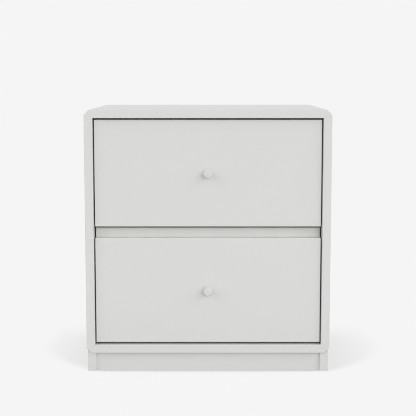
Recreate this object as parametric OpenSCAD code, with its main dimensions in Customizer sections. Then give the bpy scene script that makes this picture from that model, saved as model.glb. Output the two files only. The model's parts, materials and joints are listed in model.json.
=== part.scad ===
// Two-drawer nightstand: a mitred and bevelled lacquered carcass on a low plinth,
// with inset drawer fronts, turned knobs and telescopic ball-bearing runners.
// Millimetres, +Z up, front towards -Y, floor at Z = 0.

/* [Carcass] */
// Width of the carcass across its side boards
body_w = 468; // [420:1:560]
// Height of the carcass without the plinth
body_h = 468; // [420:1:560]
// Depth of the carcass from its front edges to its rear edges
body_d = 380; // [340:1:460]
// Thickness of the four carcass boards
board_t = 16; // [14:0.5:19]
// Width of the bevel along each long corner, measured along a face
corner_bevel = 9.5; // [4:0.5:10]
// Radius that eases the exposed edges
edge_r = 1; // [0.5:0.1:1.5]
// Thickness of the back panel
back_t = 8; // [5:0.5:10]
// How far the back panel sits in from the rear edges
back_inset = 10; // [6:1:20]
// Depth of the groove that holds the back panel
back_groove = 6; // [4:0.5:8]
// Thickness of the loose tongue in each mitre
tongue_t = 4; // [3:0.5:5]
// Width of the loose tongue, half of it in each board
tongue_w = 8; // [6:0.5:10]
// How far each tongue stops short of the front edges and of the back panel
tongue_stop = 20; // [12:1:40]

/* [Plinth] */
// Height of the plinth under the carcass
plinth_h = 36; // [32:1:90]
// Thickness of the plinth boards
plinth_t = 16; // [12:0.5:18]
// How far the plinth sits in from the carcass sides
plinth_side_inset = 2; // [1:0.5:6]
// How far the plinth's side boards sit back from the carcass front
plinth_front_inset = 3; // [1:0.5:8]
// How far the plinth's side boards end before the carcass rear
plinth_rear_inset = 2; // [1:0.5:8]
// How far the plinth's front board sits back between the side boards
kickboard_inset = 5; // [1:0.5:12]
// How far the plinth's rear board sits in between the side boards
rear_board_inset = 12; // [4:1:40]
// Width of the glue blocks in the plinth's corners
block_w = 30; // [24:1:40]
// Height of the glue blocks
block_h = 24; // [18:1:30]
// Depth that the plinth screws reach into the carcass bottom
plinth_screw_bite = 11; // [8:0.5:12]

/* [Drawers] */
// Thickness of the drawer fronts
front_t = 16; // [13:0.5:19]
// How far the drawer fronts sit back from the carcass front
front_recess = 7; // [4:0.5:14]
// Gap between a drawer front and each carcass side
front_side_gap = 2.3; // [1.5:0.1:4]
// Gap above the upper front
front_top_gap = 3; // [2:0.1:5]
// Gap below the lower front
front_bottom_gap = 4; // [2:0.1:5]
// Height of the finger gap between the two fronts
finger_gap = 22; // [16:1:30]
// Clear height between the lower drawer's upstand and the upper front
upstand_gap = 4; // [3:0.5:8]
// Thickness of the boards of the drawer boxes
box_t = 12; // [10:0.5:15]
// Height of a drawer box above the lower edge of its front
box_rise = 3; // [1:0.5:8]
// How far a drawer box stays below the upper edge of its front
box_drop = 12; // [6:1:40]
// Gap between a drawer box and the back panel
box_rear_gap = 14; // [8:1:30]
// Thickness of the drawer bottoms
bottom_t = 6; // [4:0.5:8]
// Height of a drawer bottom above the lower edge of its box
bottom_rise = 10; // [6:1:20]
// Depth of the grooves that hold a drawer bottom
bottom_groove = 6; // [4:0.5:7]
// Diameter of the dowels in a drawer box's corners
dowel_d = 6; // [5:0.5:7]
// Depth that a dowel reaches into the face of a board
dowel_bite = 8; // [6:0.5:9]
// Depth that a dowel reaches into the end of a board
dowel_end = 20; // [14:1:26]
// Distance of the dowels from the upper and lower edges of a box
dowel_margin = 40; // [30:1:60]

/* [Runners] */
// Width of a runner, which fills the space beside a drawer box
runner_w = 12.7; // [12:0.1:14]
// Height of a runner's fixed rail
runner_h = 45.4; // [44:0.2:50]
// Distance between a runner's front end and the inner front
runner_front_gap = 2; // [1:0.5:6]
// Distance between a runner's rear end and the rear of its box
runner_rear_gap = 11; // [2:0.5:20]
// Thickness of the rails' sheet metal
rail_t = 1.2; // [1:0.1:1.4]
// Clearance between nested rails, cages and screw heads
rail_gap = 0.4; // [0.3:0.05:0.5]
// Diameter of the balls
ball_d = 3.2; // [2.8:0.1:3.6]
// Clearance between the balls and their tracks
ball_gap = 0.1; // [0.05:0.01:0.15]
// Depth of the tracks in the rails' flanges
track_depth = 0.6; // [0.4:0.05:0.8]
// Metal left beside a track
track_land = 0.6; // [0.4:0.1:0.8]
// Number of balls in each row
balls_in_row = 8; // [4:1:12]
// Thickness of the ball cages' strip
cage_t = 0.6; // [0.5:0.05:0.8]
// Length of track that a ball cage leaves free when the drawer is fully out
cage_play = 8; // [5:1:30]
// Length of the rubber stop at a runner's rear end
stop_l = 6; // [4:0.5:10]
// Height of the rubber stop
stop_h = 16; // [10:1:22]
// Diameter of the hole that gives a screwdriver access through a middle rail
access_d = 9; // [8:0.5:12]
// Length of the oval holes in the backs of the fixed rails and drawer rails
slot_l = 9; // [6:0.5:12]
// Width of the oval holes
slot_w = 4.4; // [3:0.1:6]
// Distance between the oval holes, counted from the middle of a rail
slot_step = 32; // [20:1:40]
// Number of oval holes on each side of a rail's middle
slots_each_way = 2; // [0:1:2]

/* [Knobs and screws] */
// Diameter of a knob's head
knob_d = 17.5; // [12:0.5:22]
// Length of a knob in front of its drawer front
knob_l = 17; // [14:0.5:30]
// Diameter of a knob's foot
knob_foot_d = 11; // [9:0.5:14]
// Diameter of a knob's neck
knob_neck_d = 8.5; // [7.5:0.5:11]
// Thickness of a knob's head
knob_head_t = 6.5; // [5:0.5:9]
// Rounding of the head's rim
knob_rim_r = 2; // [1:0.1:2.4]
// Height of the dome on the head's face
knob_dome = 0.5; // [0.2:0.1:1.5]
// Diameter of the knob screws
knob_screw_d = 4; // [3:0.5:5]
// Diameter of the knob screws' heads
knob_screw_head_d = 8; // [6:0.5:10]
// Thickness of the knob screws' heads
knob_screw_head_t = 2; // [1.5:0.1:3]
// Depth that a knob screw reaches into its knob
knob_screw_bite = 10; // [7:0.5:13]
// Diameter of the wood screws
screw_d = 3.5; // [3:0.1:4]
// Diameter of the wood screws' heads
screw_head_d = 7; // [6:0.1:8]
// Thickness of the runner screws' flat heads
screw_head_t = 1.1; // [0.8:0.1:1.2]
// Length of the runner screws in the wood
runner_screw_bite = 10; // [8:0.5:11]
// Depth that the front screws reach into a drawer front
front_screw_bite = 10; // [8:0.5:12]
// Distance of the front screws from the middle of the front, sideways
front_screw_x = 150; // [80:1:170]
// Distance of the front screws from the middle of the front, upwards
front_screw_z = 60; // [30:1:70]
// Distance of the outermost runner screws from the runner's ends
runner_screw_margin = 30; // [20:1:50]
// Clearance round screws and dowels in their holes
hole_gap = 0.1; // [0.05:0.01:0.15]
// Clearance in the grooves
groove_gap = 0.1; // [0.05:0.01:0.2]

/* [Hidden] */
LEVELS = ["lower", "upper"];
SIDES = ["left", "right"];
CARCASS_NODES = [
    "top_board", "bottom_board", "left_side_board", "right_side_board", "back_panel", "mitre_tongues",
    "plinth_left_board", "plinth_right_board", "plinth_front_board", "plinth_rear_board",
    "plinth_glue_blocks", "plinth_screws"
];
RUNNER_SETS = [
    "runner_stops", "runner_screws", "outer_ball_cages", "outer_balls", "inner_ball_cages", "inner_balls"
];
DRAWER_NODES = [
    "drawer_front", "inner_front", "box_back", "box_bottom", "box_dowels", "knob", "knob_screw",
    "front_screws", "drawer_rail_screws"
];
SIDED_NODES = ["box_side", "fixed_rail", "middle_rail", "drawer_rail"];

$fn = 48;
EDGE_STEPS = 3;
ARC_STEPS = 8;
BALL_FN = 24;
SCREW_TIP = 0.25;
OVERCUT = 1;

lacquer = [0.85, 0.85, 0.84];
panel_grey = [0.78, 0.78, 0.77];
beech = [0.84, 0.72, 0.55];
zinc = [0.72, 0.73, 0.74];
steel = [0.55, 0.56, 0.58];
rubber = [0.15, 0.15, 0.15];

// The box round everything, knobs included, has its middle over the origin
knob_out = knob_l - front_recess;
front_y = (knob_out - body_d) / 2;

body_top = plinth_h + body_h;
body_mid_z = plinth_h + body_h / 2;
inner_x = body_w / 2 - board_t;
back_y = body_d - back_inset - back_t;
tongue_l = back_y - 2 * tongue_stop;
mitre_mid = (board_t + corner_bevel / 2) / 2;

plinth_x = body_w / 2 - plinth_side_inset;
plinth_in_x = plinth_x - plinth_t;
plinth_l = body_d - plinth_front_inset - plinth_rear_inset;
kickboard_y = plinth_front_inset + kickboard_inset;
rear_board_y = body_d - plinth_rear_inset - rear_board_inset - plinth_t;

front_w = 2 * (inner_x - front_side_gap);
front_h = (body_h - 2 * board_t - front_top_gap - front_bottom_gap - finger_gap) / 2;
inner_front_y = front_recess + front_t;
box_y = inner_front_y + box_t;
box_rear_y = back_y - box_rear_gap;
box_x = inner_x - runner_w;
box_in_x = box_x - box_t;
box_h = front_h - box_rise - box_drop;
bottom_top = bottom_rise + bottom_t;

runner_y = box_y + runner_front_gap;
runner_l = box_rear_y - runner_rear_gap - runner_y;
moving_l = runner_l - stop_l - rail_gap;
cage_l = moving_l / 2 - cage_play;
cage_y = runner_y + (moving_l - cage_l) / 2;
ball_step = cage_l / balls_in_row;

// Sideways places in a runner, measured from the carcass side towards the drawer box
outer_cage_u = rail_t + screw_head_t + rail_gap;
middle_u = outer_cage_u + cage_t + rail_gap;
inner_cage_u = middle_u + rail_t + rail_gap;
drawer_rail_u = inner_cage_u + cage_t + rail_gap;
flange_end_u = runner_w - rail_t - 2 * rail_gap;

// Upward places in a runner, measured from its middle
track_r = ball_d / 2 + ball_gap;
track_reach = track_r - track_depth;
track_half = sqrt(track_r * track_r - track_reach * track_reach);
outer_ball_w = runner_h / 2 - rail_t - track_r;
fixed_in_w = outer_ball_w + track_reach;
middle_out_w = outer_ball_w - track_reach;
middle_in_w = middle_out_w - 2 * track_depth - rail_t;
inner_ball_w = middle_in_w - track_reach;
drawer_out_w = inner_ball_w - track_reach;
drawer_in_w = drawer_out_w - track_depth - rail_t;
outer_ball_u = (middle_u + flange_end_u) / 2;
inner_ball_u = drawer_rail_u + track_land + track_half;

function front_z(level) = plinth_h + board_t + front_bottom_gap + level * (front_h + finger_gap);
function front_mid_z(level) = front_z(level) + front_h / 2;
function box_z(level) = front_z(level) + box_rise;
function runner_z(level) = box_z(level) + box_h / 2;
function inner_front_top(level) = level == 0 ? front_z(1) - upstand_gap : box_z(1) + box_h;
function unit(v) = v / norm(v);
function arc(centre, radius, from, to) = [
    for (k = [0 : ARC_STEPS])
        let (angle = from + (to - from) * k / ARC_STEPS)
        centre + radius * [cos(angle), sin(angle)]
];

// Moves what is modelled with Y = 0 at the carcass front to its place in the frame
module placed() {
    translate([0, front_y, 0])
        children();
}

// Turns what is modelled on the right into its mirror image on the left
module on_side(side) {
    mirror([side == "left" ? 1 : 0, 0, 0])
        children();
}

// Carries an outline in X and Z along Y
module along_y(length) {
    translate([0, length, 0])
        rotate([90, 0, 0])
            linear_extrude(length)
                children();
}

// A strip that eases one straight edge when it is cut away, from the two inward directions of its faces
module edge_strip(start, end, in_a, in_b) {
    run = unit(end - start);
    right_handed = cross(in_a, in_b) * run > 0;
    a = right_handed ? in_a : in_b;
    b = right_handed ? in_b : in_a;
    corner = start - run * edge_r;
    round_points = [
        for (k = [0 : EDGE_STEPS])
            let (angle = 270 - 90 * k / EDGE_STEPS)
            edge_r * [1 + cos(angle), 1 + sin(angle)]
    ];
    multmatrix([
        [a.x, b.x, run.x, corner.x],
        [a.y, b.y, run.y, corner.y],
        [a.z, b.z, run.z, corner.z]
    ])
        linear_extrude(norm(end - start) + 2 * edge_r)
            polygon(concat(
                [[-OVERCUT, edge_r], [-OVERCUT, -OVERCUT], [edge_r, -OVERCUT]],
                round_points
            ));
}

// A block with its front edges and the four edges that run back from them eased
module eased_slab(low, high) {
    size = high - low;
    difference() {
        translate(low)
            cube(size);
        for (sx = [0, 1]) {
            in_x = [1 - 2 * sx, 0, 0];
            x = low.x + sx * size.x;
            edge_strip([x, low.y, low.z], [x, low.y, high.z], in_x, [0, 1, 0]);
            for (sz = [0, 1]) {
                z = low.z + sz * size.z;
                edge_strip([x, low.y, z], [x, high.y, z], in_x, [0, 0, 1 - 2 * sz]);
            }
        }
        for (sz = [0, 1]) {
            z = low.z + sz * size.z;
            edge_strip([low.x, low.y, z], [high.x, low.y, z], [0, 0, 1 - 2 * sz], [0, 1, 0]);
        }
    }
}

// The carcass's outer outline, a rectangle with bevelled corners
module carcass_outline() {
    w = body_w / 2;
    b = corner_bevel;
    polygon([
        [b - w, plinth_h], [w - b, plinth_h], [w, plinth_h + b], [w, body_top - b],
        [w - b, body_top], [b - w, body_top], [-w, body_top - b], [-w, plinth_h + b]
    ]);
}

// One mitred board of the carcass, drawn as the lower one and turned to its side:
// each end holds half a bevel
module mitred_board(turn, length, outer) {
    half = length / 2;
    b = corner_bevel;
    outline = [
        [b - half, -outer], [half - b, -outer], [half - b / 2, b / 2 - outer],
        [half - board_t, board_t - outer], [board_t - half, board_t - outer], [b / 2 - half, b / 2 - outer]
    ];
    eased_sides = [0, 1, 3, 5];
    translate([0, 0, body_mid_z])
        rotate([0, turn, 0])
            difference() {
                along_y(body_d)
                    polygon(outline);
                for (k = eased_sides) {
                    p = outline[k];
                    q = outline[(k + 1) % len(outline)];
                    inward = unit([p.y - q.y, 0, q.x - p.x]);
                    edge_strip([p.x, 0, p.y], [q.x, 0, q.y], inward, [0, 1, 0]);
                    edge_strip([p.x, body_d, p.y], [q.x, body_d, q.y], inward, [0, -1, 0]);
                }
            }
}

// The four loose tongues, square to the mitres, or their slots when a gap is given
module tongues(gap = 0) {
    for (sx = [-1, 1])
        for (sz = [-1, 1])
            translate([
                sx * (body_w / 2 - mitre_mid),
                tongue_stop - gap,
                body_mid_z + sz * (body_h / 2 - mitre_mid)
            ])
                rotate([0, 45 * sx * sz, 0])
                    translate([-tongue_w / 2 - gap, 0, -tongue_t / 2 - gap])
                        cube([tongue_w + 2 * gap, tongue_l + 2 * gap, tongue_t + 2 * gap]);
}

// The back panel, or the groove round it when a gap is given
module back_shape(gap = 0) {
    w = 2 * (inner_x + back_groove - groove_gap + gap);
    h = body_h - 2 * (board_t - back_groove + groove_gap - gap);
    translate([-w / 2, back_y - gap, body_mid_z - h / 2])
        cube([w, back_t + 2 * gap, h]);
}

// A carcass board with the slots and grooves that the other pieces need
module carcass_board(turn, length, outer) {
    difference() {
        mitred_board(turn, length, outer);
        tongues(groove_gap);
        back_shape(groove_gap);
    }
}

// A flat-headed screw whose head stands on Z = 0 and whose shank points down to a cone
module flat_head_screw(shank_d, length, head_d, head_t, gap = 0) {
    cylinder(h = head_t, d = head_d + 2 * gap);
    screw_shank(shank_d, length, gap);
}

// A countersunk screw with its head flush at Z = 0
module countersunk_screw(shank_d, length, head_d, gap = 0) {
    sink = (head_d - shank_d) / 2;
    translate([0, 0, -sink])
        cylinder(h = sink, d1 = shank_d + 2 * gap, d2 = head_d + 2 * gap);
    screw_shank(shank_d, length, gap);
}

// A plain shank with a cone at its end
module screw_shank(shank_d, length, gap) {
    r = shank_d / 2 + gap;
    translate([0, 0, shank_d - length])
        cylinder(h = length - shank_d, r = r);
    translate([0, 0, -length - gap])
        cylinder(h = shank_d + gap, r1 = SCREW_TIP * r, r2 = r);
}

// The screws that hold the glue blocks up to the carcass bottom
module plinth_screw_set(gap = 0) {
    for (sx = [-1, 1])
        for (y = [kickboard_y + plinth_t + block_w / 2, rear_board_y - block_w / 2])
            translate([sx * (plinth_in_x - block_w / 2), y, plinth_h - block_h])
                mirror([0, 0, 1])
                    countersunk_screw(screw_d, block_h + plinth_screw_bite, screw_head_d, gap);
}

// The screws that hold one level's fixed rails to the carcass sides
module runner_screw_set(level, gap = 0) {
    for (side = SIDES)
        for (y = [runner_screw_margin, runner_l / 2, runner_l - runner_screw_margin])
            on_side(side)
                translate([inner_x - rail_t, runner_y + y, runner_z(level)])
                    rotate([0, -90, 0])
                        flat_head_screw(screw_d, rail_t + runner_screw_bite, screw_head_d, screw_head_t, gap);
}

// The screws that hold one level's drawer rails to the drawer box
module drawer_rail_screw_set(level, gap = 0) {
    for (side = SIDES)
        for (y = [runner_screw_margin, moving_l - runner_screw_margin])
            on_side(side)
                translate([box_x + rail_t, runner_y + y, runner_z(level)])
                    rotate([0, 90, 0])
                        flat_head_screw(screw_d, rail_t + runner_screw_bite, screw_head_d, screw_head_t, gap);
}

// The screws from the inner front into the drawer front
module front_screw_set(level, gap = 0) {
    for (sx = [-1, 1])
        for (sz = [-1, 1])
            translate([sx * front_screw_x, box_y, front_mid_z(level) + sz * front_screw_z])
                rotate([-90, 0, 0])
                    countersunk_screw(screw_d, box_t + front_screw_bite, screw_head_d, gap);
}

// The screw through the inner front and the front into the knob
module knob_screw_shape(level, gap = 0) {
    r = knob_screw_d / 2 + gap;
    l = box_t + front_t + knob_screw_bite;
    translate([0, box_y, front_mid_z(level)])
        rotate([90, 0, 0]) {
            translate([0, 0, -knob_screw_head_t])
                cylinder(h = knob_screw_head_t, d = knob_screw_head_d);
            cylinder(h = l + gap, r = r);
        }
}

// The dowels in a drawer box's corners
module dowel_set(level, gap = 0) {
    r = dowel_d / 2 + gap;
    l = dowel_bite + dowel_end + 2 * gap;
    for (side = SIDES)
        for (z = [box_z(level) + dowel_margin, box_z(level) + box_h - dowel_margin])
            on_side(side) {
                translate([box_x - box_t / 2, box_y + dowel_end + gap, z])
                    rotate([90, 0, 0])
                        cylinder(h = l, r = r);
                translate([box_in_x - dowel_end - gap, box_rear_y - box_t / 2, z])
                    rotate([0, 90, 0])
                        cylinder(h = l, r = r);
            }
}

// The drawer bottom, or the grooves round it when a gap is given
module bottom_shape(level, gap = 0) {
    x = box_in_x + bottom_groove - groove_gap + gap;
    y = box_y - bottom_groove + groove_gap - gap;
    translate([-x, y, box_z(level) + bottom_rise - gap])
        cube([2 * x, box_rear_y - y + (gap > 0 ? OVERCUT : 0), bottom_t + 2 * gap]);
}

// Carries a runner's outline along it: X leads from the carcass side to the drawer, Y leads up
module along_runner(level, y, length) {
    translate([inner_x, y, runner_z(level)])
        mirror([1, 0, 0])
            along_y(length)
                children();
}

// The corner that a bend of the given radius takes off, with its point at the origin
module bend_corner(radius) {
    difference() {
        translate([-OVERCUT, -OVERCUT])
            square(radius + OVERCUT);
        translate([radius, radius])
            circle(radius);
    }
}

// A bent channel's outline with its back at one side and its two flanges at the other,
// where each bend is as round outside as its sheet is thick
module channel(back_u, tip_u, out_w, in_w, sheet_t) {
    reach = abs(tip_u - back_u);
    translate([back_u, 0])
        mirror([back_u < tip_u ? 0 : 1, 0])
            difference() {
                translate([0, -out_w])
                    square([reach, 2 * out_w]);
                translate([sheet_t, -in_w])
                    square([reach - sheet_t + OVERCUT, 2 * in_w]);
                for (turn = [0, 1])
                    mirror([0, turn])
                        translate([0, -out_w])
                            bend_corner(sheet_t);
            }
}

// The row of oval holes through a rail's back, on both sides of the rail's middle
module slot_row(level, u, middle_y) {
    for (k = [1 : 1 : slots_each_way])
        for (s = [-1, 1])
            translate([inner_x - u, middle_y + s * k * slot_step, runner_z(level)])
                rotate([0, 90, 0]) {
                    cube([slot_w, slot_l - slot_w, 2 * rail_t], center = true);
                    for (end = [-1, 1])
                        translate([0, end * (slot_l - slot_w) / 2, 0])
                            cylinder(h = 2 * rail_t, d = slot_w, center = true);
                }
}

// The two round ball tracks of a row, cut into a channel's flanges
module tracks(u, w) {
    for (s = [-1, 1])
        translate([u, s * w])
            circle(track_r);
}

// The balls of one row pair, or the holes for them when a gap is given
module ball_rows(level, u, w, gap = 0) {
    for (k = [0 : balls_in_row - 1])
        for (s = [-1, 1])
            translate([inner_x - u, cage_y + (k + 0.5) * ball_step, runner_z(level) + s * w])
                if (gap == 0)
                    sphere(d = ball_d, $fn = BALL_FN);
                else
                    cylinder(h = 2 * cage_t, d = ball_d + 2 * gap, center = true);
}

// A bent strip that keeps the balls of one row pair apart
module ball_cage(level, cage_u, ball_u, ball_w) {
    difference() {
        along_runner(level, cage_y, cage_l)
            channel(cage_u, flange_end_u, ball_w + cage_t / 2, ball_w - cage_t / 2, cage_t);
        ball_rows(level, ball_u, ball_w, ball_gap / 2);
    }
}

// A board of the plinth's side, cut to the carcass's bevel, with its upright edges eased
module plinth_side_shape() {
    tall = plinth_h + corner_bevel;
    difference() {
        translate([0, plinth_front_inset, 0])
            along_y(plinth_l)
                difference() {
                    translate([plinth_in_x, 0])
                        square([plinth_t, tall]);
                    carcass_outline();
                }
        for (end = [[plinth_front_inset, 1], [plinth_front_inset + plinth_l, -1]])
            for (face = [[plinth_in_x, 1], [plinth_x, -1]])
                edge_strip([face[0], end[0], 0], [face[0], end[0], tall], [face[1], 0, 0], [0, end[1], 0]);
    }
}

module top_board() {
    color(lacquer)
        placed()
            carcass_board(180, body_w, body_h / 2);
}

module bottom_board() {
    color(lacquer)
        placed()
            difference() {
                carcass_board(0, body_w, body_h / 2);
                plinth_screw_set(hole_gap);
            }
}

module side_board(side) {
    color(lacquer)
        placed()
            difference() {
                carcass_board(side == "left" ? 90 : -90, body_h, body_w / 2);
                for (level = [0, 1])
                    runner_screw_set(level, hole_gap);
            }
}

module back_panel() {
    color(panel_grey)
        placed()
            back_shape();
}

module mitre_tongues() {
    color(beech)
        placed()
            tongues();
}

module plinth_side_board(side) {
    color(lacquer)
        placed()
            on_side(side)
                plinth_side_shape();
}

module plinth_front_board() {
    color(lacquer)
        placed()
            translate([-plinth_in_x, kickboard_y, 0])
                cube([2 * plinth_in_x, plinth_t, plinth_h]);
}

module plinth_rear_board() {
    color(lacquer)
        placed()
            translate([-plinth_in_x, rear_board_y, 0])
                cube([2 * plinth_in_x, plinth_t, plinth_h]);
}

module plinth_glue_blocks() {
    color(beech)
        placed()
            difference() {
                for (side = SIDES)
                    for (y = [kickboard_y + plinth_t, rear_board_y - block_w])
                        on_side(side)
                            translate([plinth_in_x - block_w, y, plinth_h - block_h])
                                cube([block_w, block_w, block_h]);
                plinth_screw_set(hole_gap);
            }
}

module plinth_screws() {
    color(zinc)
        placed()
            plinth_screw_set();
}

module runner_stops(level) {
    stop_w = flange_end_u - rail_t;
    color(rubber)
        placed()
            for (side = SIDES)
                on_side(side)
                    translate([
                        inner_x - rail_t - stop_w,
                        runner_y + runner_l - stop_l,
                        runner_z(level) - stop_h / 2
                    ])
                        cube([stop_w, stop_l, stop_h]);
}

module runner_screws(level) {
    color(zinc)
        placed()
            runner_screw_set(level);
}

module ball_cages(level, cage_u, ball_u, ball_w) {
    color(steel)
        placed()
            for (side = SIDES)
                on_side(side)
                    ball_cage(level, cage_u, ball_u, ball_w);
}

module balls(level, ball_u, ball_w) {
    color(zinc)
        placed()
            for (side = SIDES)
                on_side(side)
                    ball_rows(level, ball_u, ball_w);
}

module fixed_rail(level, side) {
    color(zinc)
        placed()
            difference() {
                on_side(side)
                    difference() {
                        along_runner(level, runner_y, runner_l)
                            difference() {
                                channel(0, flange_end_u, runner_h / 2, fixed_in_w, rail_t);
                                tracks(outer_ball_u, outer_ball_w);
                            }
                        slot_row(level, rail_t / 2, runner_y + runner_l / 2);
                    }
                runner_screw_set(level, hole_gap);
            }
}

module middle_rail(level, side) {
    access_y = runner_y + runner_screw_margin + runner_l / 2;
    color(zinc)
        placed()
            on_side(side)
                difference() {
                    along_runner(level, runner_y, moving_l)
                        difference() {
                            channel(middle_u, flange_end_u, middle_out_w, middle_in_w, rail_t);
                            tracks(outer_ball_u, outer_ball_w);
                            tracks(inner_ball_u, inner_ball_w);
                        }
                    translate([inner_x - middle_u - rail_t / 2, access_y, runner_z(level)])
                        rotate([0, 90, 0])
                            cylinder(h = 2 * rail_t, d = access_d, center = true);
                }
}

module drawer_rail(level, side) {
    color(zinc)
        placed()
            difference() {
                on_side(side)
                    difference() {
                        along_runner(level, runner_y, moving_l)
                            difference() {
                                channel(runner_w, drawer_rail_u, drawer_out_w, drawer_in_w, rail_t);
                                tracks(inner_ball_u, inner_ball_w);
                            }
                        slot_row(level, runner_w - rail_t / 2, runner_y + moving_l / 2);
                    }
                drawer_rail_screw_set(level, hole_gap);
            }
}

module drawer_front(level) {
    low = [-front_w / 2, front_recess, front_z(level)];
    color(lacquer)
        placed()
            difference() {
                eased_slab(low, low + [front_w, front_t, front_h]);
                front_screw_set(level, hole_gap);
                knob_screw_shape(level, hole_gap);
            }
}

module inner_front(level) {
    low = [-front_w / 2, inner_front_y, box_z(level)];
    high = [front_w / 2, box_y, inner_front_top(level)];
    color(lacquer)
        placed()
            difference() {
                eased_slab(low, high);
                bottom_shape(level, groove_gap);
                dowel_set(level, hole_gap);
                front_screw_set(level, hole_gap);
                knob_screw_shape(level, hole_gap);
            }
}

module box_side(level, side) {
    color(panel_grey)
        placed()
            difference() {
                on_side(side)
                    difference() {
                        translate([box_in_x, box_y, box_z(level)])
                            cube([box_t, box_rear_y - box_y, box_h]);
                        for (face = [[box_in_x, 1], [box_x, -1]])
                            edge_strip(
                                [face[0], box_y, box_z(level) + box_h],
                                [face[0], box_rear_y, box_z(level) + box_h],
                                [face[1], 0, 0],
                                [0, 0, -1]
                            );
                    }
                bottom_shape(level, groove_gap);
                dowel_set(level, hole_gap);
                drawer_rail_screw_set(level, hole_gap);
            }
}

module box_back(level) {
    color(panel_grey)
        placed()
            difference() {
                translate([-box_in_x, box_rear_y - box_t, box_z(level) + bottom_top])
                    cube([2 * box_in_x, box_t, box_h - bottom_top]);
                for (face = [[box_rear_y - box_t, 1], [box_rear_y, -1]])
                    edge_strip(
                        [-box_in_x, face[0], box_z(level) + box_h],
                        [box_in_x, face[0], box_z(level) + box_h],
                        [0, face[1], 0],
                        [0, 0, -1]
                    );
                dowel_set(level, hole_gap);
            }
}

module box_bottom(level) {
    color(panel_grey)
        placed()
            bottom_shape(level);
}

module box_dowels(level) {
    color(beech)
        placed()
            dowel_set(level);
}

// A turned knob: a foot that narrows to a neck and opens into a domed head with a rounded rim
module knob(level) {
    foot_r = knob_foot_d / 2;
    neck_r = knob_neck_d / 2;
    rim_x = knob_d / 2 - knob_rim_r;
    head_z = knob_l - knob_head_t;
    neck_z = head_z / 2;
    steps = [for (k = [0 : ARC_STEPS]) k / ARC_STEPS];
    foot_curve = [for (s = steps) [neck_r + (foot_r - neck_r) * pow(1 - s, 2), neck_z * s]];
    flare_curve = [for (s = steps) [neck_r + (rim_x - neck_r) * pow(s, 3), neck_z + (head_z - neck_z) * s]];
    lower_rim = arc([rim_x, head_z + knob_rim_r], knob_rim_r, -90, 0);
    upper_rim = arc([rim_x, knob_l - knob_dome - knob_rim_r], knob_rim_r, 0, 90);
    dome_curve = [for (s = steps) [rim_x * (1 - s), knob_l - knob_dome * pow(1 - s, 2)]];
    function after_first(points) = [for (k = [1 : len(points) - 1]) points[k]];
    profile = concat(
        [[0, 0]],
        foot_curve,
        after_first(flare_curve),
        after_first(lower_rim),
        upper_rim,
        after_first(dome_curve)
    );
    color(lacquer)
        placed()
            difference() {
                translate([0, front_recess, front_mid_z(level)])
                    rotate([90, 0, 0])
                        rotate_extrude()
                            polygon(profile);
                knob_screw_shape(level, hole_gap);
            }
}

module knob_screw(level) {
    color(zinc)
        placed()
            knob_screw_shape(level);
}

module front_screws(level) {
    color(zinc)
        placed()
            front_screw_set(level);
}

module drawer_rail_screws(level) {
    color(zinc)
        placed()
            drawer_rail_screw_set(level);
}

top_board();
bottom_board();
back_panel();
mitre_tongues();
plinth_front_board();
plinth_rear_board();
plinth_glue_blocks();
plinth_screws();

for (side = SIDES) {
    side_board(side);
    plinth_side_board(side);
}

for (k = [0, 1]) {
    level = LEVELS[k];
    runner_stops(k);
    runner_screws(k);
    ball_cages(k, outer_cage_u, outer_ball_u, outer_ball_w);
    ball_cages(k, inner_cage_u, inner_ball_u, inner_ball_w);
    balls(k, outer_ball_u, outer_ball_w);
    balls(k, inner_ball_u, inner_ball_w);
    drawer_front(k);
    inner_front(k);
    box_back(k);
    box_bottom(k);
    box_dowels(k);
    knob(k);
    knob_screw(k);
    front_screws(k);
    drawer_rail_screws(k);
    for (side = SIDES) {
        box_side(k, side);
        fixed_rail(k, side);
        middle_rail(k, side);
        drawer_rail(k, side);
    }
}
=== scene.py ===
"""Finishes, screws and studio for a bedside cabinet with two drawers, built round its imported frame."""
import json
import math

import bpy
import numpy as np
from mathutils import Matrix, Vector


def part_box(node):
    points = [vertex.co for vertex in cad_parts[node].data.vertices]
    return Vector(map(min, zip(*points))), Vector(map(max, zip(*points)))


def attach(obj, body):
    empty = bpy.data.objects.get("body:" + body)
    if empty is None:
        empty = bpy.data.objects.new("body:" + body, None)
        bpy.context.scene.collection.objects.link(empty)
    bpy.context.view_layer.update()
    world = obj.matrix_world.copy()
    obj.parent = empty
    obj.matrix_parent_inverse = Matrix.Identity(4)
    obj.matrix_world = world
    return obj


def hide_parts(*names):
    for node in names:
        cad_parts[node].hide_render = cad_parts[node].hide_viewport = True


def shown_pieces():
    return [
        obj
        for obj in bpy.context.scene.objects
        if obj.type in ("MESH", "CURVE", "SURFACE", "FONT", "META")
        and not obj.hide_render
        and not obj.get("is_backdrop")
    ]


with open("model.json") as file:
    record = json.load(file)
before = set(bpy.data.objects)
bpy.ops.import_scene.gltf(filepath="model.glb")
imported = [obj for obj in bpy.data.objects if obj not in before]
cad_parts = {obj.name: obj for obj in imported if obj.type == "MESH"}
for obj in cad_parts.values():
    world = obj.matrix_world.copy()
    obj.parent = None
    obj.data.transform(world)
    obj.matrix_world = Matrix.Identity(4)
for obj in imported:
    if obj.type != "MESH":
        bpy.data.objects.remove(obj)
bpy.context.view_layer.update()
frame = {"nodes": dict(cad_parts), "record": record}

MM = 0.001
LEVELS = ("lower", "upper")

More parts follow.
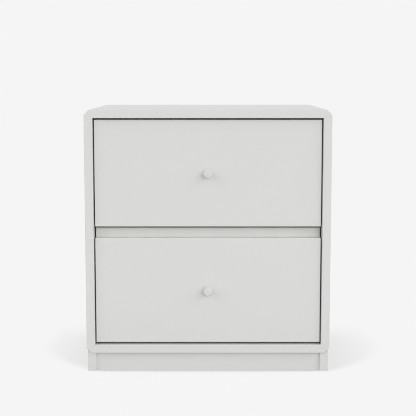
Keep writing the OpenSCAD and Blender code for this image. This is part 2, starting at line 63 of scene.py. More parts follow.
# Screws, as in the part: radii of shank and head, heights of heads, lengths, and plain necks below the heads
SCREW_R = 1.75 * MM
SCREW_HEAD_R = 3.5 * MM
FLAT_HEAD_T = 1.1 * MM
RUNNER_SCREW_L, RUNNER_NECK = 11.2 * MM, 1.6 * MM
FRONT_SCREW_L, FRONT_NECK = 22 * MM, 8 * MM
PLINTH_SCREW_L, PLINTH_NECK = 35 * MM, 14 * MM
KNOB_SCREW_R = 2 * MM
KNOB_SCREW_HEAD_R = 4 * MM
KNOB_SCREW_HEAD_T = 2 * MM
KNOB_SCREW_L, KNOB_NECK = 38 * MM, 16 * MM

# Threads: the core as a share of the shank, the pitch, and the length of the tapered point, then the points
# on a ring, the rings in a turn, the blunt tip, half the ridge's width as a share of the pitch, and the neck
WOOD_THREAD = {"core": 0.66, "pitch": 1.5 * MM, "point": 4 * MM}
MACHINE_THREAD = {"core": 0.82, "pitch": 0.7 * MM, "point": 1 * MM}
RING_POINTS = 40
RINGS_IN_TURN = 6
TIP_LIFT, TIP_SHARE = 0.1 * MM, 0.08
RIDGE_HALF = 0.3
NECK_SHARE, NECK_START, NECK_END = 0.98, 0.05 * MM, 0.01 * MM

# Cross recess, in shares of the head's radius, its flared lip, a guard for its wings' middles, and the sizes
# and depths of its inner rings, in shares of its own
RECESS_REACH, RECESS_HALF, RECESS_DEPTH = 0.62, 0.17, 0.42
RECESS_FLARE, RECESS_LIP = 1.04, 0.04 * MM
LEAST_SINE = 1e-6
RECESS_RINGS = ((0.82, 0.75), (0.5, 0.95), (0.2, 1.0))

# Heads: rings of the flat one in shares of radius and height, the sunk one's rim, and the pan head's shoulder
FLAT_HEAD_RINGS = ((0.96, 0.0), (1.0, 0.25), (1.0, 0.55), (0.97, 0.82), (0.9, 1.0))
SUNK_RIM_LOW, SUNK_RIM_HIGH, SUNK_RIM_SHARE = 0.12 * MM, 0.03 * MM, 0.97
PAN_FOOT_SHARE, PAN_FOOT_T = 0.97, 0.08 * MM
PAN_FLAT, PAN_SIDE = 0.78, 0.45
PAN_RINGS = 5

# Each screw is driven to its own chance angle, measured from a direction that no screw points along
SPIN_SEED = 7
SPIN_MOST = 1.5
SPIN_FROM = (0.3, 0.5, 0.8)


def add_object(name, points, faces):
    """A new mesh object from arrays of points and lists of faces, linked into the scene."""
    mesh = bpy.data.meshes.new(name)
    mesh.from_pydata(points.tolist(), [], faces)
    mesh.update()
    added = bpy.data.objects.new(name, mesh)
    bpy.context.scene.collection.objects.link(added)
    return added


def ring_table(rows, columns, start=0):
    """Point numbers of a stack of rings, those one step further round, and the quads between the rings."""
    corner = start + np.arange(rows * columns).reshape(rows, columns)
    beside = np.roll(corner, -1, axis=1)
    quads = np.stack([corner[:-1], beside[:-1], beside[1:], corner[1:]], axis=-1).reshape(-1, 4)
    return corner, beside, quads


def rings_to_mesh(name, ring_sets):
    """One mesh of several closed shells: each is a stack of rings (rows, columns, xyz), wrapped round into
    quads, with a fan over the first and the last ring's middle point."""
    points, faces, start = [], [], 0
    for rings in ring_sets:
        rows, columns = rings.shape[:2]
        corner, beside, quads = ring_table(rows, columns, start)
        first, last = start + rows * columns, start + rows * columns + 1
        lower = np.stack([np.full(columns, first), beside[0], corner[0]], axis=-1)
        upper = np.stack([np.full(columns, last), corner[-1], beside[-1]], axis=-1)
        points += [rings.reshape(-1, 3), rings[0].mean(0)[None], rings[-1].mean(0)[None]]
        faces += quads.tolist() + lower.tolist() + upper.tolist()
        start += rows * columns + 2
    return add_object(name, np.concatenate(points), faces)


def stacked(radii, heights, columns=RING_POINTS):
    """Rings round Z: each radius is a number or a value for every column."""
    angle = np.linspace(0, 2 * np.pi, columns, endpoint=False)
    radius = np.stack([np.broadcast_to(r, columns) for r in radii])
    height = np.repeat(np.asarray(heights, float)[:, None], columns, axis=1)
    return np.stack([radius * np.cos(angle), radius * np.sin(angle), height], axis=-1)


def cross_outline(reach, half_width, columns=RING_POINTS):
    """Outline of a cross-shaped recess as a radius at each angle: the nearer of the wing's side line, which
    lies half_width from its axis, and the wing's end."""
    angle = np.linspace(0, 2 * np.pi, columns, endpoint=False)
    off_wing = np.abs((angle + np.pi / 4) % (np.pi / 2) - np.pi / 4)
    return np.minimum(reach, half_width / np.maximum(np.sin(off_wing), LEAST_SINE))


def threaded_rings(length, shank_r, plain, core, pitch, point):
    """A shank from its point at -length up to the plain neck: a core, with a ridge whose height follows the
    share of a turn left between angle and height, so that it climbs one pitch per turn."""
    turn = np.linspace(0, 1, RING_POINTS, endpoint=False)
    heights = np.arange(-length + TIP_LIFT, -plain, pitch / RINGS_IN_TURN)
    taper = (heights + length) / point
    core_r = shank_r * core * np.clip(taper, TIP_SHARE, 1)
    rise = np.clip(taper, 0, 1) * np.clip((-plain - heights) / pitch, 0, 1)
    share = (heights[:, None] / pitch - turn[None, :]) % 1.0
    ridge = np.clip(1 - np.abs(share - 0.5) / RIDGE_HALF, 0, 1)
    radii = core_r[:, None] + (shank_r - shank_r * core) * rise[:, None] * ridge
    return stacked(list(radii), heights)


def screw_rings(length, shank_r, head, plain, core, pitch, point):
    """A whole screw from its point up: threaded shank, plain neck, head profile (radius, height), and a cross
    recess whose walls lean in to a shallow floor."""
    head_r, top = head[-1]
    cross = cross_outline(RECESS_REACH * head_r, RECESS_HALF * head_r)
    deep = RECESS_DEPTH * head_r
    neck_r = shank_r * NECK_SHARE
    return np.concatenate([
        threaded_rings(length, shank_r, plain, core, pitch, point),
        stacked([neck_r, neck_r], [-plain + NECK_START, head[0][1] - NECK_END]),
        stacked([r for r, _ in head], [z for _, z in head]),
        stacked([cross * RECESS_FLARE, cross], [top, top - RECESS_LIP]),
        stacked([cross * size for size, _ in RECESS_RINGS], [top - down * deep for _, down in RECESS_RINGS]),
    ])


def turned_to(rings, place, axis, spin):
    """Rings round Z, spun about Z, then carried so that Z points along an axis and the origin lies at a
    place."""
    axis = np.asarray(axis, float)
    side = np.cross(axis, SPIN_FROM)
    side /= np.linalg.norm(side)
    across = np.cross(axis, side)
    c, s = math.cos(spin), math.sin(spin)
    basis = np.stack([c * side + s * across, c * across - s * side, axis])
    return rings @ basis + np.asarray(place, float)


def flat_head():
    """A low flat head that stands on Z = 0, with a rounded rim."""
    return [(r * SCREW_HEAD_R, z * FLAT_HEAD_T) for r, z in FLAT_HEAD_RINGS]


def sunk_head():
    """A countersunk head, flush at Z = 0."""
    r = SCREW_HEAD_R
    return [(SCREW_R, SCREW_R - r), (r, -SUNK_RIM_LOW), (r, -SUNK_RIM_HIGH), (r * SUNK_RIM_SHARE, 0.0)]


def pan_head():
    """A machine screw's pan head that stands on Z = 0: upright side, then a quarter-round shoulder."""
    r, t = KNOB_SCREW_HEAD_R, KNOB_SCREW_HEAD_T
    turn = np.linspace(0, np.pi / 2, PAN_RINGS)
    widths = r * PAN_FLAT + r * (1 - PAN_FLAT) * np.cos(turn)
    heights = t * PAN_SIDE + t * (1 - PAN_SIDE) * np.sin(turn)
    return [(r * PAN_FOOT_SHARE, 0.0), (r, PAN_FOOT_T), *zip(widths, heights)]


def screw_piece(name, node, body, rings, places, axes, chance):
    """One piece of equal screws that stands for a node of them."""
    spins = chance.uniform(0, SPIN_MOST, len(places))
    piece = rings_to_mesh(name, [turned_to(rings, p, a, s) for p, a, s in zip(places, axes, spins)])
    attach(piece, body)
    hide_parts(node)
    return piece


def head_ends(low, high, axis):
    """The lowest and highest head centre, along one axis, of the screws in a box."""
    return low[axis] + SCREW_HEAD_R, high[axis] - SCREW_HEAD_R


def plinth_screws(chance):
    """Long countersunk screws that hold the glue blocks from below."""
    low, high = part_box("plinth_screws")
    places = [(x, y, low.z) for x in head_ends(low, high, 0) for y in head_ends(low, high, 1)]
    rings = screw_rings(PLINTH_SCREW_L, SCREW_R, sunk_head(), PLINTH_NECK, **WOOD_THREAD)
    return screw_piece(
        "plinth_wood_screws", "plinth_screws", "carcass", rings, places, [(0, 0, -1)] * len(places), chance
    )


def runner_screws(level, chance):
    """Three screws through each fixed rail into the carcass side."""
    low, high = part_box(f"{level}_runner_screws")
    first, last = head_ends(low, high, 1)
    head_x, head_z = high.x - RUNNER_SCREW_L, (low.z + high.z) / 2
    spots = [(side, y) for side in (-1, 1) for y in (first, (first + last) / 2, last)]
    return screw_piece(
        f"{level}_runner_wood_screws", f"{level}_runner_screws", "carcass",
        screw_rings(RUNNER_SCREW_L, SCREW_R, flat_head(), RUNNER_NECK, **WOOD_THREAD),
        [(side * head_x, y, head_z) for side, y in spots], [(-side, 0, 0) for side, _ in spots], chance,
    )


def rail_screws(level, chance):
    """Two screws through each drawer rail into the drawer's box side."""
    low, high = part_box(f"{level}_drawer_rail_screws")
    head_x, head_z = high.x - FLAT_HEAD_T, (low.z + high.z) / 2
    spots = [(side, y) for side in (-1, 1) for y in head_ends(low, high, 1)]
    return screw_piece(
        f"{level}_drawer_rail_wood_screws", f"{level}_drawer_rail_screws", f"{level}_drawer",
        screw_rings(RUNNER_SCREW_L, SCREW_R, flat_head(), RUNNER_NECK, **WOOD_THREAD),
        [(side * head_x, y, head_z) for side, y in spots], [(side, 0, 0) for side, _ in spots], chance,
    )


def front_screws(level, chance):
    """Countersunk screws through the inner front into the drawer front."""
    low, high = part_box(f"{level}_front_screws")
    places = [(x, high.y, z) for x in head_ends(low, high, 0) for z in head_ends(low, high, 2)]
    rings = screw_rings(FRONT_SCREW_L, SCREW_R, sunk_head(), FRONT_NECK, **WOOD_THREAD)
    return screw_piece(
        f"{level}_front_wood_screws", f"{level}_front_screws", f"{level}_drawer",
        rings, places, [(0, 1, 0)] * len(places), chance,
    )


def knob_screw(level, chance):
    """The machine screw from inside the drawer into its knob."""
    low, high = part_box(f"{level}_knob_screw")
    place = ((low.x + high.x) / 2, high.y - KNOB_SCREW_HEAD_T, (low.z + high.z) / 2)
    rings = screw_rings(KNOB_SCREW_L, KNOB_SCREW_R, pan_head(), KNOB_NECK, **MACHINE_THREAD)
    return screw_piece(
        f"{level}_knob_machine_screw", f"{level}_knob_screw", f"{level}_drawer",
        rings, [place], [(0, 1, 0)], chance,
    )


def make_screws():
    """Every screw where its node's box puts it."""
    chance = np.random.default_rng(SPIN_SEED)
    made = [plinth_screws(chance)]
    for level in LEVELS:
        made += [kind(level, chance) for kind in (runner_screws, rail_screws, front_screws, knob_screw)]
    return made


def shade(tree, kind, sockets=None, **settings):
    """Adds a shader node, sets its properties, and sets or links its sockets."""
    node = tree.nodes.new(kind)
    for name, value in settings.items():
        setattr(node, name, value)
    for name, value in (sockets or {}).items():
        if isinstance(value, bpy.types.NodeSocket):
            tree.links.new(value, node.inputs[name])
        else:
            node.inputs[name].default_value = value
    return node


def math_node(tree, operation, *values):
    """A Math node's result."""
    return shade(tree, "ShaderNodeMath", dict(enumerate(values)), operation=operation).outputs[0]


def object_place(tree):
    """The place on a piece, in metres."""
    return shade(tree, "ShaderNodeTexCoord").outputs["Object"]


def noise(tree, place, scale, detail=2.0, roughness=0.5):
    """A noise value at a place."""
    sockets = {"Vector": place, "Scale": scale, "Detail": detail, "Roughness": roughness}
    return shade(tree, "ShaderNodeTexNoise", sockets).outputs["Fac"]


def stretched(tree, place, scale):
    """A place scaled by its own share along each axis."""
    return shade(tree, "ShaderNodeMapping", {"Vector": place, "Scale": scale}).outputs["Vector"]


def between(tree, value, low, high, from_low=0.3, from_high=0.7, **settings):
    """A value from one range, by default that of a noise, carried into another."""
    sockets = {"Value": value, "From Min": from_low, "From Max": from_high, "To Min": low, "To Max": high}
    return shade(tree, "ShaderNodeMapRange", sockets, **settings).outputs["Result"]


def tinted(tree, colour, factor):
    """A colour times a value."""
    sockets = {"Factor": 1.0, "A": colour, "B": factor}
    return shade(tree, "ShaderNodeMix", sockets, data_type="RGBA", blend_type="MULTIPLY").outputs["Result"]


def effect(name, inputs, outputs):
    """An empty shader node group with named sockets."""
    tree = bpy.data.node_groups.new(name, "ShaderNodeTree")
    for label, kind, value in inputs:
        socket = tree.interface.new_socket(label, in_out="INPUT", socket_type=kind)
        socket.default_value = value
    for label, kind in outputs:
        tree.interface.new_socket(label, in_out="OUTPUT", socket_type=kind)
    return tree, tree.nodes.new("NodeGroupInput").outputs, tree.nodes.new("NodeGroupOutput").inputs


FLOAT, COLOUR = "NodeSocketFloat", "NodeSocketColor"
SURFACE_SOCKETS = [("Color", COLOUR), ("Roughness", FLOAT), ("Height", FLOAT)]

# Colours of the finishes
LACQUER_COLOUR = (0.676, 0.676, 0.660, 1)
# The knob's colour is the boards' lacquer made a little darker: painted shade, so the lit knob faces come out
# no brighter than the fronts
KNOB_PAINTED_SHADE_COLOUR = (0.648, 0.648, 0.634, 1)
BOARD_COLOUR = (0.600, 0.600, 0.585, 1)
BEECH_DARK, BEECH_LIGHT = (0.56, 0.36, 0.19, 1), (0.68, 0.47, 0.27, 1)
RAIL_COLOUR = (0.51, 0.515, 0.525, 1)
CAGE_COLOUR = (0.36, 0.37, 0.38, 1)
SCREW_COLOUR = (0.54, 0.54, 0.53, 1)
BALL_COLOUR = (0.62, 0.62, 0.63, 1)
RUBBER_COLOUR = (0.022, 0.022, 0.023, 1)

# Sprayed film: roughness and waves of peel in a metre on boards and knobs, waves of the slow drift and the
# fine mist, how far these carry tone and roughness, the peel's depth, and the lacquer's shine
BOARD_ROUGH, BOARD_PEEL = 0.50, 420.0
KNOB_ROUGH, KNOB_PEEL = 0.45, 700.0
DRIFT_WAVES, MIST_WAVES = 5.0, 1500.0
DRIFT_TONE, MIST_TONE = 0.012, 0.012
DRIFT_ROUGH, PEEL_ROUGH = 0.12, 0.08
PEEL_DEPTH, PEEL_STRENGTH = 0.04 * MM, 0.35
LACQUER_SHINE = 0.25

# Plated strip: roughness and waves of bloom in a metre on rails, cages and screws, the drawing lines' waves,
# how far bloom and lines stretch along Y and carry tone and roughness, and the lines' depth
RAIL_ROUGH, RAIL_BLOOM = 0.34, 70.0
CAGE_ROUGH, CAGE_BLOOM = 0.40, 160.0
SCREW_ROUGH, SCREW_BLOOM = 0.30, 420.0
LINE_WAVES = 2400.0
BLOOM_STRETCH, LINE_STRETCH = (1.0, 0.25, 1.0), (1.0, 0.02, 1.0)
BLOOM_TONE, LINE_TONE = (0.965, 1.025), (-0.03, 0.03)
BLOOM_ROUGH, LINE_ROUGH = (-0.03, 0.04), (-0.03, 0.03)
LINE_DEPTH, LINE_STRENGTH = 0.01 * MM, 0.4

# Balls, foil, beech and rubber: waves in a metre, ranges of tone and roughness, and depths
HAZE_WAVES, HAZE_TONE, BALL_ROUGH = 700.0, (0.94, 1.03), (0.08, 0.2)
FOIL_WAVES, FOIL_TONE, FOIL_ROUGH = 7.0, (0.98, 1.02), (0.5, 0.64)
PEARL_WAVES, PEARL_TONE = 900.0, (-0.025, 0.025)
FOIL_DEPTH, FOIL_STRENGTH = 0.03 * MM, 0.4
BAND_WAVES, BAND_STRETCH, BEECH_ROUGH = 260.0, (1.0, 0.06, 1.0), (0.52, 0.68)
FLECK_WAVES, FLECK_STRETCH = 1700.0, (1.0, 0.14, 1.0)
FLECK_TONE, FLECK_RANGE = (1.0, 0.75), (0.62, 0.72)
BEECH_DEPTH = 0.05 * MM
DUST_WAVES, DUST_TONE, RUBBER_ROUGH = 1100.0, (0.75, 1.4), (0.62, 0.82)
RUBBER_DEPTH = 0.05 * MM

# The faint line where the carcass boards meet: its half width, how much darker it is, and its start before
# the boards' inner faces
MITRE_LINE = 0.12 * MM
MITRE_DARKER = 0.3
MITRE_LEAD = 1 * MM


def sprayed_film():
    """Sprayed lacquer: a colour that drifts slowly over a board, fine orange peel, and a roughness that
    varies with both."""
    tree, given, out = effect(
        "sprayed_film",
        [
            ("Color", COLOUR, LACQUER_COLOUR),
            ("Roughness", FLOAT, BOARD_ROUGH),
            ("Peel Scale", FLOAT, BOARD_PEEL),
        ],
        SURFACE_SOCKETS,
    )
    place = object_place(tree)
    peel = noise(tree, place, given["Peel Scale"], detail=1.5, roughness=0.4)
    drift = math_node(tree, "SUBTRACT", noise(tree, place, DRIFT_WAVES, detail=3.0), 0.5)
    mist = math_node(tree, "SUBTRACT", noise(tree, place, MIST_WAVES, detail=1.0), 0.5)
    factor = math_node(tree, "MULTIPLY_ADD", drift, DRIFT_TONE, 1.0)
    factor = math_node(tree, "MULTIPLY_ADD", mist, MIST_TONE, factor)
    matt = math_node(tree, "MULTIPLY_ADD", drift, DRIFT_ROUGH, given["Roughness"])
    matt = math_node(tree, "MULTIPLY_ADD", math_node(tree, "SUBTRACT", peel, 0.5), PEEL_ROUGH, matt)
    tree.links.new(tinted(tree, given["Color"], factor), out["Color"])
    tree.links.new(matt, out["Roughness"])
    tree.links.new(peel, out["Height"])
    return tree


def rolled_steel():
    """Plated strip: cloudy zinc bloom, and fine drawing lines that run along Y."""
    tree, given, out = effect(
        "rolled_steel",
        [
            ("Color", COLOUR, RAIL_COLOUR),
            ("Roughness", FLOAT, RAIL_ROUGH),
            ("Bloom Scale", FLOAT, RAIL_BLOOM),
        ],
        SURFACE_SOCKETS,
    )
    place = object_place(tree)
    cloud = stretched(tree, place, BLOOM_STRETCH)
    bloom = noise(tree, cloud, given["Bloom Scale"], detail=4.0, roughness=0.6)
    lines = noise(tree, stretched(tree, place, LINE_STRETCH), LINE_WAVES)
    factor = math_node(tree, "ADD", between(tree, bloom, *BLOOM_TONE), between(tree, lines, *LINE_TONE))
    matt = math_node(tree, "ADD", given["Roughness"], between(tree, bloom, *BLOOM_ROUGH))
    matt = math_node(tree, "ADD", matt, between(tree, lines, *LINE_ROUGH))
    tree.links.new(tinted(tree, given["Color"], factor), out["Color"])
    tree.links.new(matt, out["Roughness"])
    tree.links.new(lines, out["Height"])
    return tree


def new_material(name):
    """A material with its own Principled shader and nothing else."""
    material = bpy.data.materials.new(name)
    material.use_nodes = True
    return material, material.node_tree, material.node_tree.nodes["Principled BSDF"]


def finish(tree, bsdf, colour, roughness):
    """Feeds a colour and a roughness to the shader."""
    tree.links.new(colour, bsdf.inputs["Base Color"])
    tree.links.new(roughness, bsdf.inputs["Roughness"])


def bumped(tree, bsdf, height, depth, strength=0.5):
    """Feeds a height to the shader's normal."""
    bump = shade(tree, "ShaderNodeBump", {"Height": height, "Distance": depth, "Strength": strength})
    tree.links.new(bump.outputs["Normal"], bsdf.inputs["Normal"])


def mitre_shade(tree):
    """1 beside the carcass's mitres and less on them: the boards meet where the distances from the middle of
    the square carcass, sideways and upwards, are equal and lie outside its inner faces."""
    middle_z = (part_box("bottom_board")[0].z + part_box("top_board")[1].z) / 2
    inner_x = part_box("right_side_board")[0].x
    axes = shade(tree, "ShaderNodeSeparateXYZ", {"Vector": object_place(tree)}).outputs
    sideways = math_node(tree, "ABSOLUTE", axes["X"])
    upwards = math_node(tree, "ABSOLUTE", math_node(tree, "SUBTRACT", axes["Z"], middle_z))
    apart = math_node(tree, "ABSOLUTE", math_node(tree, "SUBTRACT", sideways, upwards))
    near = between(tree, apart, 1.0, 0.0, 0.5 * MITRE_LINE, 1.5 * MITRE_LINE)
    outside = math_node(tree, "MINIMUM", sideways, upwards)
    outside = math_node(tree, "GREATER_THAN", outside, inner_x - MITRE_LEAD)
    line = math_node(tree, "MULTIPLY", near, outside)
    return math_node(tree, "MULTIPLY_ADD", line, -MITRE_DARKER, 1.0)


def lacquer_material(name, film, colour, roughness, peel, mitres=False):
    """Satin lacquer on board or turned wood."""
    material, tree, bsdf = new_material(name)
    sockets = {"Color": colour, "Roughness": roughness, "Peel Scale": peel}
    skin = shade(tree, "ShaderNodeGroup", sockets, node_tree=film).outputs
    shown = tinted(tree, skin["Color"], mitre_shade(tree)) if mitres else skin["Color"]
    finish(tree, bsdf, shown, skin["Roughness"])
    bsdf.inputs["Specular IOR Level"].default_value = LACQUER_SHINE
    bumped(tree, bsdf, skin["Height"], PEEL_DEPTH, PEEL_STRENGTH)
    return material


def steel_material(name, strip, colour, roughness, bloom):
    """Zinc-plated steel."""
    material, tree, bsdf = new_material(name)
    sockets = {"Color": colour, "Roughness": roughness, "Bloom Scale": bloom}
    plate = shade(tree, "ShaderNodeGroup", sockets, node_tree=strip).outputs
    finish(tree, bsdf, plate["Color"], plate["Roughness"])
    bsdf.inputs["Metallic"].default_value = 1.0
    bumped(tree, bsdf, plate["Height"], LINE_DEPTH, LINE_STRENGTH)
    return material


def ball_material():
    """Polished ball steel with a faint haze of wear."""
    material, tree, bsdf = new_material("ball_steel_polish")
    haze = noise(tree, object_place(tree), HAZE_WAVES, detail=3.0)
    colour = tinted(tree, BALL_COLOUR, between(tree, haze, *HAZE_TONE))
    finish(tree, bsdf, colour, between(tree, haze, *BALL_ROUGH))
    bsdf.inputs["Metallic"].default_value = 1.0
    return material


def coated_board_material():
    """Matt foil on board: a slow drift of tone, a fine pearl grain and a soft embossing."""
    material, tree, bsdf = new_material("coated_board_foil")
    place = object_place(tree)
    drift = noise(tree, place, FOIL_WAVES, detail=3.0)
    pearl = noise(tree, place, PEARL_WAVES, roughness=0.6)
    factor = math_node(tree, "ADD", between(tree, drift, *FOIL_TONE), between(tree, pearl, *PEARL_TONE))
    finish(tree, bsdf, tinted(tree, BOARD_COLOUR, factor), between(tree, pearl, *FOIL_ROUGH))
    bumped(tree, bsdf, pearl, FOIL_DEPTH, FOIL_STRENGTH)
    return material


def beech_material():
    """Bare beech: growth bands that wander along Y, and short dark flecks."""
    material, tree, bsdf = new_material("bare_beech")
    place = object_place(tree)
    band = noise(tree, stretched(tree, place, BAND_STRETCH), BAND_WAVES, detail=3.0, roughness=0.55)
    fleck = noise(tree, stretched(tree, place, FLECK_STRETCH), FLECK_WAVES, detail=1.0)
    sockets = {"Factor": between(tree, band, 0.0, 1.0), "A": BEECH_DARK, "B": BEECH_LIGHT}
    wood = shade(tree, "ShaderNodeMix", sockets, data_type="RGBA").outputs["Result"]
    colour = tinted(tree, wood, between(tree, fleck, *FLECK_TONE, *FLECK_RANGE))
    finish(tree, bsdf, colour, between(tree, band, *BEECH_ROUGH))
    bumped(tree, bsdf, band, BEECH_DEPTH)
    return material


def rubber_material():
    """Matt black rubber with a dusty moulded skin."""
    material, tree, bsdf = new_material("stop_rubber_skin")
    skin = noise(tree, object_place(tree), DUST_WAVES, detail=3.0)
    colour = tinted(tree, RUBBER_COLOUR, between(tree, skin, *DUST_TONE))
    finish(tree, bsdf, colour, between(tree, skin, *RUBBER_ROUGH))
    bumped(tree, bsdf, skin, RUBBER_DEPTH)
    return material


def make_materials():
    """One material for each slot of the record."""
    film, strip = sprayed_film(), rolled_steel()
    board = (LACQUER_COLOUR, BOARD_ROUGH, BOARD_PEEL)
    knob = (KNOB_PAINTED_SHADE_COLOUR, KNOB_ROUGH, KNOB_PEEL)
    return {
        "lacquer": lacquer_material("board_lacquer", film, *board, mitres=True),
        "knob_lacquer": lacquer_material("turned_knob_lacquer", film, *knob),
        "inner_board": coated_board_material(),
        "beech": beech_material(),
        "rail_steel": steel_material("rail_zinc", strip, RAIL_COLOUR, RAIL_ROUGH, RAIL_BLOOM),
        "cage_steel": steel_material("cage_strip", strip, CAGE_COLOUR, CAGE_ROUGH, CAGE_BLOOM),
        "screw_steel": steel_material("screw_zinc", strip, SCREW_COLOUR, SCREW_ROUGH, SCREW_BLOOM),
        "ball_steel": ball_material(),
        "stop_rubber": rubber_material(),
    }


def dress(materials, screws):
    """Gives every node and every screw piece its slot's material."""
    for part in frame["record"]["subparts"]:
        for holder in frame["nodes"][part["node"]].material_slots:
            holder.material = materials[part["material_slot"]]
    for piece in screws:
        piece.data.materials.append(materials["screw_steel"])


# Light levels: a share of plain white that each gives on a surface that faces it
BACKGROUND = 0.913
SKY = 0.44
WHITE = (1, 1, 1, 1)

# The floor: its colour under the strip light, which only the camera sees, the even glow that it gives the
# cabinet, its outer, inner and middle radius, and where it fades into the background
FLOOR_SHADOWED = 0.04
FLOOR_GLOW = 0.475
FLOOR_RADIUS, FLOOR_INNER, FLOOR_MIDDLE = 2.2, 0.1, 0.1 * MM
FLOOR_RINGS, FLOOR_POINTS = 12, 96
FADE_NEAR, FADE_FAR = 0.9, 1.7

# Where the floor shows the shadow. Beside the cabinet it is a lens: its middle sideways and its inner half
# width, its width, the middle and length of its front edge, that edge's softness, and where the lens fades at
# the rear. In front of the cabinet and straight behind it the floor shows all of the shadow.
LENS_SHIFT, LENS_INNER = 0.010, 0.244
LENS_WIDTH, LENS_MID, LENS_AHEAD, LENS_SOFT = 0.12, 0.022, 0.206, 0.037
REAR_START, REAR_END = 0.03, 0.245
FRONT_START, FRONT_FULL = -0.19, -0.24
BEHIND_FULL = 0.2

# Lamps: name, compass angle from the front towards the right, height above the horizon, angular width, level
LAMPS = (
    ("ceiling_light", 0.0, 88.0, 40.0, 0.06),
    ("near_right_light", 20.0, 12.0, 40.0, 0.31),
    ("near_left_light", -25.0, 14.0, 50.0, 0.10),
    ("far_right_light", 60.0, 30.0, 40.0, 0.24),
    ("far_left_light", -65.0, 30.0, 40.0, 0.21),
    ("rear_right_light", 140.0, 12.0, 40.0, 0.30),
    ("rear_left_light", -140.0, 12.0, 40.0, 0.28),
)

# The strip light far above that casts the shadow on the floor: height, half angles sideways and forwards,
# lean towards the front, shift sideways, level, and the share that comes down through the slant of its ends
STRIP_HEIGHT = 30.0
STRIP_SIDEWAYS, STRIP_FORWARDS, STRIP_LEAN = 16.95, 2.2, 1.1
STRIP_SHIFT = -0.183
STRIP_LEVEL = 7.0
STRIP_SHARE = 0.948


def seen_rays(tree):
    """1 for the rays that show a surface: to the camera, in mirrors and through glass."""
    rays = shade(tree, "ShaderNodeLightPath").outputs
    seen = math_node(tree, "MAXIMUM", rays["Is Camera Ray"], rays["Is Glossy Ray"])
    return math_node(tree, "MAXIMUM", seen, rays["Is Transmission Ray"])


def shadow_mask(tree, place):
    """How much of the shadow the floor shows: all of it in front of the cabinet and straight behind it.
    Beside the cabinet its front edge is a parabola, and it fades towards the rear."""
    axes = shade(tree, "ShaderNodeSeparateXYZ", {"Vector": place}).outputs
    across = math_node(tree, "ABSOLUTE", math_node(tree, "SUBTRACT", axes["X"], LENS_SHIFT))
    beside = math_node(tree, "SUBTRACT", across, LENS_INNER)
    ahead = math_node(tree, "MINIMUM", math_node(tree, "SUBTRACT", axes["Y"], LENS_MID), 0.0)
    ahead = math_node(tree, "DIVIDE", ahead, LENS_AHEAD)
    square = math_node(tree, "MULTIPLY", ahead, ahead)
    edge = math_node(tree, "MULTIPLY_ADD", square, -LENS_WIDTH, LENS_WIDTH)
    within = between(tree, math_node(tree, "SUBTRACT", edge, beside), 0.0, 1.0, 0.0, LENS_SOFT)
    rear = between(tree, axes["Y"], 1.0, 0.0, REAR_START, REAR_END, interpolation_type="SMOOTHSTEP")
    lens = math_node(tree, "MULTIPLY", within, rear)
    front = between(tree, axes["Y"], 0.0, 1.0, FRONT_START, FRONT_FULL)
    behind = between(tree, across, 1.0, 0.0, BEHIND_FULL, LENS_INNER)
    return math_node(tree, "MAXIMUM", lens, math_node(tree, "MAXIMUM", front, behind))


def floor_material():
    """Pale paper: to the camera a glow that the strip light tops up to the background's tone where no shadow
    falls, to the cabinet an even glow, and clear further out."""
    material = bpy.data.materials.new("studio_floor_paper")
    material.use_nodes = True
    tree = material.node_tree
    tree.nodes.clear()
    place = object_place(tree)
    mask = shadow_mask(tree, place)
    lit = SKY + STRIP_LEVEL * STRIP_SHARE
    strength = math_node(tree, "MULTIPLY_ADD", mask, -FLOOR_SHADOWED * lit, BACKGROUND)
    glow = shade(tree, "ShaderNodeEmission", {"Color": WHITE, "Strength": strength})
    tone = math_node(tree, "MULTIPLY", mask, FLOOR_SHADOWED)
    shadowed = shade(tree, "ShaderNodeBsdfDiffuse", {"Color": tone})
    shown = shade(tree, "ShaderNodeAddShader", {0: glow.outputs[0], 1: shadowed.outputs[0]})
    bounce = shade(tree, "ShaderNodeEmission", {"Color": WHITE, "Strength": FLOOR_GLOW})
    seen = seen_rays(tree)
    paper = shade(tree, "ShaderNodeMixShader", {0: seen, 1: bounce.outputs[0], 2: shown.outputs[0]})
    away = shade(tree, "ShaderNodeVectorMath", {0: place}, operation="LENGTH").outputs["Value"]
    gone = between(tree, away, 0.0, 1.0, FADE_NEAR, FADE_FAR)
    clear = shade(tree, "ShaderNodeBsdfTransparent")
    mixed = shade(tree, "ShaderNodeMixShader", {0: gone, 1: paper.outputs[0], 2: clear.outputs[0]})
    shade(tree, "ShaderNodeOutputMaterial", {"Surface": mixed.outputs[0]})
    return material


def make_floor():
    """A round floor as flat rings from its rim in to its middle."""
    radii = np.append(np.linspace(FLOOR_RADIUS, FLOOR_INNER, FLOOR_RINGS), FLOOR_MIDDLE)
    rings = stacked(radii, np.zeros(len(radii)), FLOOR_POINTS)
    quads = ring_table(len(radii), FLOOR_POINTS)[2]
    floor = add_object("studio_floor", rings.reshape(-1, 3), quads.tolist())
    floor.data.materials.append(floor_material())
    floor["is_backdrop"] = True
    return floor


def make_world():
    """An even sky that the camera, mirrors and glass see as the pale background."""
    world = bpy.data.worlds.new("studio_sky")
    bpy.context.scene.world = world
    world.use_nodes = True
    tree = world.node_tree
    tree.nodes.clear()
    level = between(tree, seen_rays(tree), SKY, BACKGROUND, 0.0, 1.0)
    sky = shade(tree, "ShaderNodeBackground", {"Color": WHITE, "Strength": level})
    shade(tree, "ShaderNodeOutputWorld", {"Surface": sky.outputs[0]})


def lit_only(name, pieces):
    """A collection of the pieces that a lamp lights."""
    lit = bpy.data.collections.new(name)
    for piece in pieces:
        lit.objects.link(piece)
    return lit


def hang(lamp, receivers):
    """Puts a lamp into the scene, to light one collection alone."""
    holder = bpy.data.objects.new(lamp.name, lamp)
    bpy.context.scene.collection.objects.link(holder)
    holder.light_linking.receiver_collection = receivers
    return holder


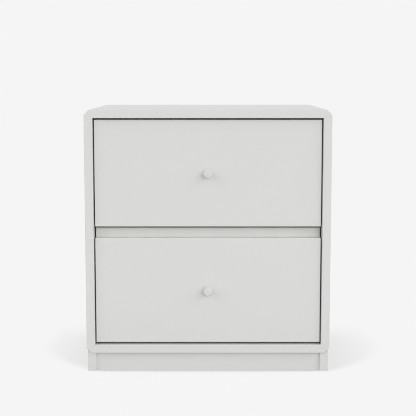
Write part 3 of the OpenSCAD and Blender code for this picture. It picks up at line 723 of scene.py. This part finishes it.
def make_lamps(floor):
    """Broad far lamps that model the cabinet and leave the floor alone, and a strip light for the floor,
    which keeps the cabinet's soft shadow at both sides."""
    cabinet = lit_only("cabinet_pieces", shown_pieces())
    for name, compass, height, width, level in LAMPS:
        lamp = bpy.data.lights.new(name, "SUN")
        lamp.energy = level * math.pi
        lamp.angle = math.radians(width)
        hang(lamp, cabinet).rotation_euler = (math.radians(90 - height), 0, math.radians(compass))
    strip = bpy.data.lights.new("strip_light", "AREA")
    strip.shape = "RECTANGLE"
    strip.size = 2 * STRIP_HEIGHT * math.tan(math.radians(STRIP_SIDEWAYS))
    strip.size_y = 2 * STRIP_HEIGHT * math.tan(math.radians(STRIP_FORWARDS))
    strip.energy = STRIP_LEVEL * (math.pi * STRIP_HEIGHT) ** 2
    lean = math.radians(STRIP_LEAN)
    holder = hang(strip, lit_only("ground", [floor]))
    holder.location = (STRIP_SHIFT, -STRIP_HEIGHT * math.sin(lean), STRIP_HEIGHT * math.cos(lean))
    holder.rotation_euler = (-lean, 0, 0)


# The camera, fitted to the photograph's edges: its focal length and the picture's width in pixels, its place,
# its downward tilt, the pixels that one picture point is gathered from, and how far it sees
FOCAL_PIXELS, PICTURE_PIXELS = 1068.8, 416
CAMERA_PLACE = (0.0, -2.1996, 0.5626)
CAMERA_TILT = 6.92
CAMERA_FILTER = 1.0
CAMERA_FAR = 50.0


def make_camera():
    """A camera straight in front, a little above the top, tilted down, and as crisp as the photo."""
    camera = bpy.data.cameras.new("front_camera")
    camera.sensor_fit = "HORIZONTAL"
    camera.lens = camera.sensor_width * FOCAL_PIXELS / PICTURE_PIXELS
    camera.clip_end = CAMERA_FAR
    holder = bpy.data.objects.new("front_camera", camera)
    holder.location = CAMERA_PLACE
    holder.rotation_euler = (math.radians(90 - CAMERA_TILT), 0, 0)
    bpy.context.scene.collection.objects.link(holder)
    bpy.context.scene.camera = holder
    bpy.context.scene.cycles.filter_width = CAMERA_FILTER


bpy.context.scene.view_settings.view_transform = "Standard"
dress(make_materials(), make_screws())
studio_floor = make_floor()
make_world()
make_lamps(studio_floor)
make_camera()
